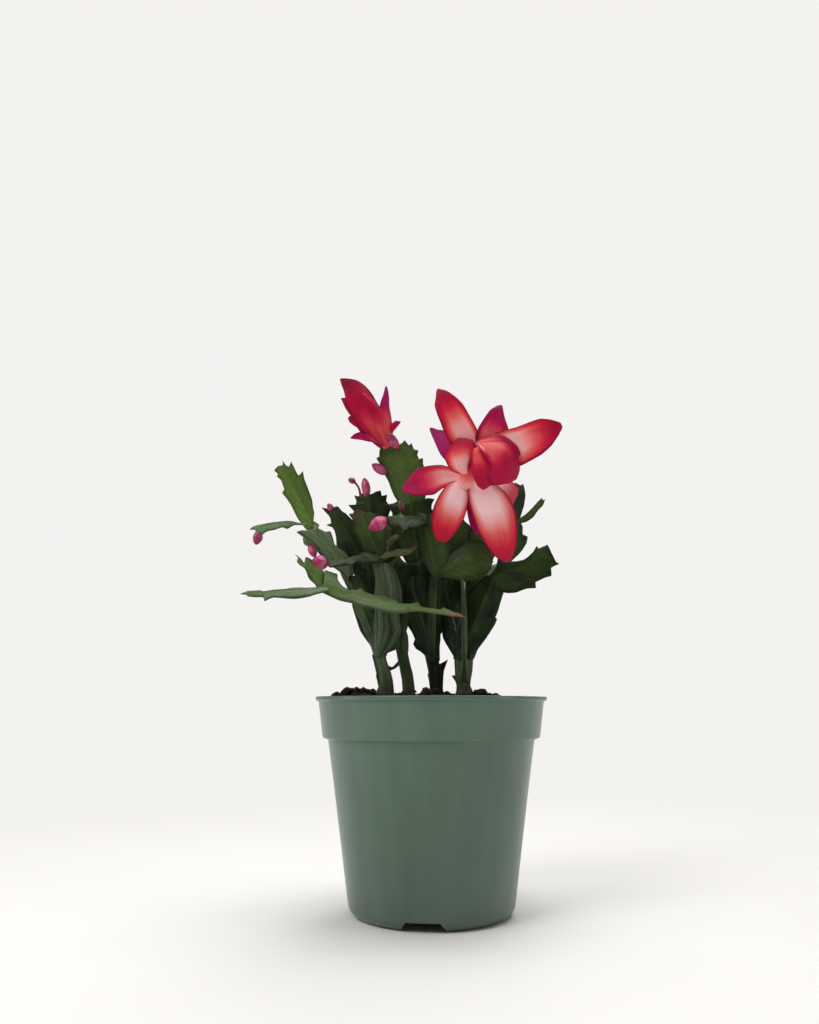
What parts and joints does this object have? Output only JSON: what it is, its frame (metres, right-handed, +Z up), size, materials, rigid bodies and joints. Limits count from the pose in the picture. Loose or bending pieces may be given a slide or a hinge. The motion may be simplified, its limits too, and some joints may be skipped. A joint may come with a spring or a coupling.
{
  "type": "potted christmas cactus",
  "caption": "Flowering christmas cactus with flat, toothed, jointed stems and red-white blooms, planted in a tapered green nursery pot that stands on its base.",
  "frame": {"origin": "centre of the pot's flat base, on the surface that the pot stands on", "axes": "+Z up along the pot's axis; the open bloom faces -Y, the front; +X to the right as seen from the front"},
  "size_m": [0.1412, 0.105, 0.2425],
  "materials": {
    "pot_plastic": "satin moulded grey-green polypropylene",
    "potting_mix": "rough, damp dark peat with bark bits",
    "stem_green": "waxy satin, smooth",
    "petal": "thin satin petal, pale at the foot and red to magenta at the rim",
    "bud_skin": "satin pink-magenta bud"
  },
  "bodies": {
    "root": {"pot": "pot_plastic", "soil": "potting_mix", "stem_left": "stem_green", "stem_front": "stem_green", "stem_centre": "stem_green", "stem_right": "stem_green", "stem_back": "stem_green", "stem_back_left": "stem_green", "stem_back_right": "stem_green", "bloom_open": "petal", "bloom_opening": "petal", "bud_droop": "bud_skin", "bud_hook": "bud_skin", "bud_reach": "bud_skin", "bud_far": "bud_skin", "bud_crown": "bud_skin", "bud_reach_mid": "bud_skin", "bud_shoulder": "bud_skin", "bud_top": "bud_skin", "bud_waist": "bud_skin", "bud_rear": "bud_skin", "bud_rear_left": "bud_skin", "bud_stalked": "bud_skin"}
  },
  "joints": []
}
